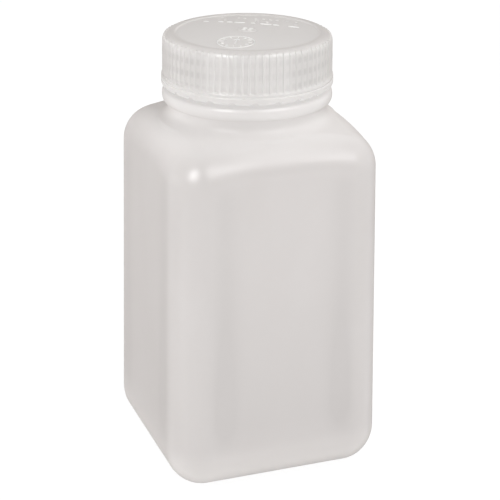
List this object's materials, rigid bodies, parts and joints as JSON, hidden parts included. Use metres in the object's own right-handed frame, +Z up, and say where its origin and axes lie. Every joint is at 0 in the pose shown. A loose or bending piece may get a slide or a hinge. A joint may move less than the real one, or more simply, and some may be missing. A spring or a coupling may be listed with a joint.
{
  "type": "square wide-mouth reagent bottle",
  "caption": "Square plastic reagent bottle with rounded corners, wide threaded neck, ribbed screw cap with sealing liner, and tamper band under the cap.",
  "frame": {"origin": "centre of the standing plane under the bottle, on the neck axis", "axes": "+Z up the neck axis, +X and +Y square to the flat sides; the front side faces -Y"},
  "size_m": [0.09, 0.09, 0.1785],
  "materials": {
    "body_plastic": "milky translucent polyethylene, semi-matte",
    "cap_plastic": "natural translucent polypropylene, satin",
    "liner_foam": "white closed-cell foam"
  },
  "bodies": {
    "bottle": {"bottle": "body_plastic"},
    "liner": {"sealing_liner": "liner_foam"},
    "cap": {"screw_cap": "cap_plastic"},
    "band": {"tamper_band": "cap_plastic"}
  },
  "joints": [
    {"name": "cap_rise", "type": "slide", "parent": "bottle", "child": "liner", "axis": [0, 0, 1], "range_m": [0, 0.0187]},
    {"name": "cap_turn", "type": "hinge", "parent": "liner", "child": "cap", "pos_m": [0, 0, 0.168], "axis": [0, 0, 1], "range_deg": [0, 1260]},
    {"name": "band_turn", "type": "hinge", "parent": "bottle", "child": "band", "pos_m": [0, 0, 0.157], "axis": [0, 0, 1], "continuous": true}
  ],
  "couplings": [
    {"joint": "cap_rise", "follows": "cap_turn", "m_per_rad": 0.00084352}
  ]
}
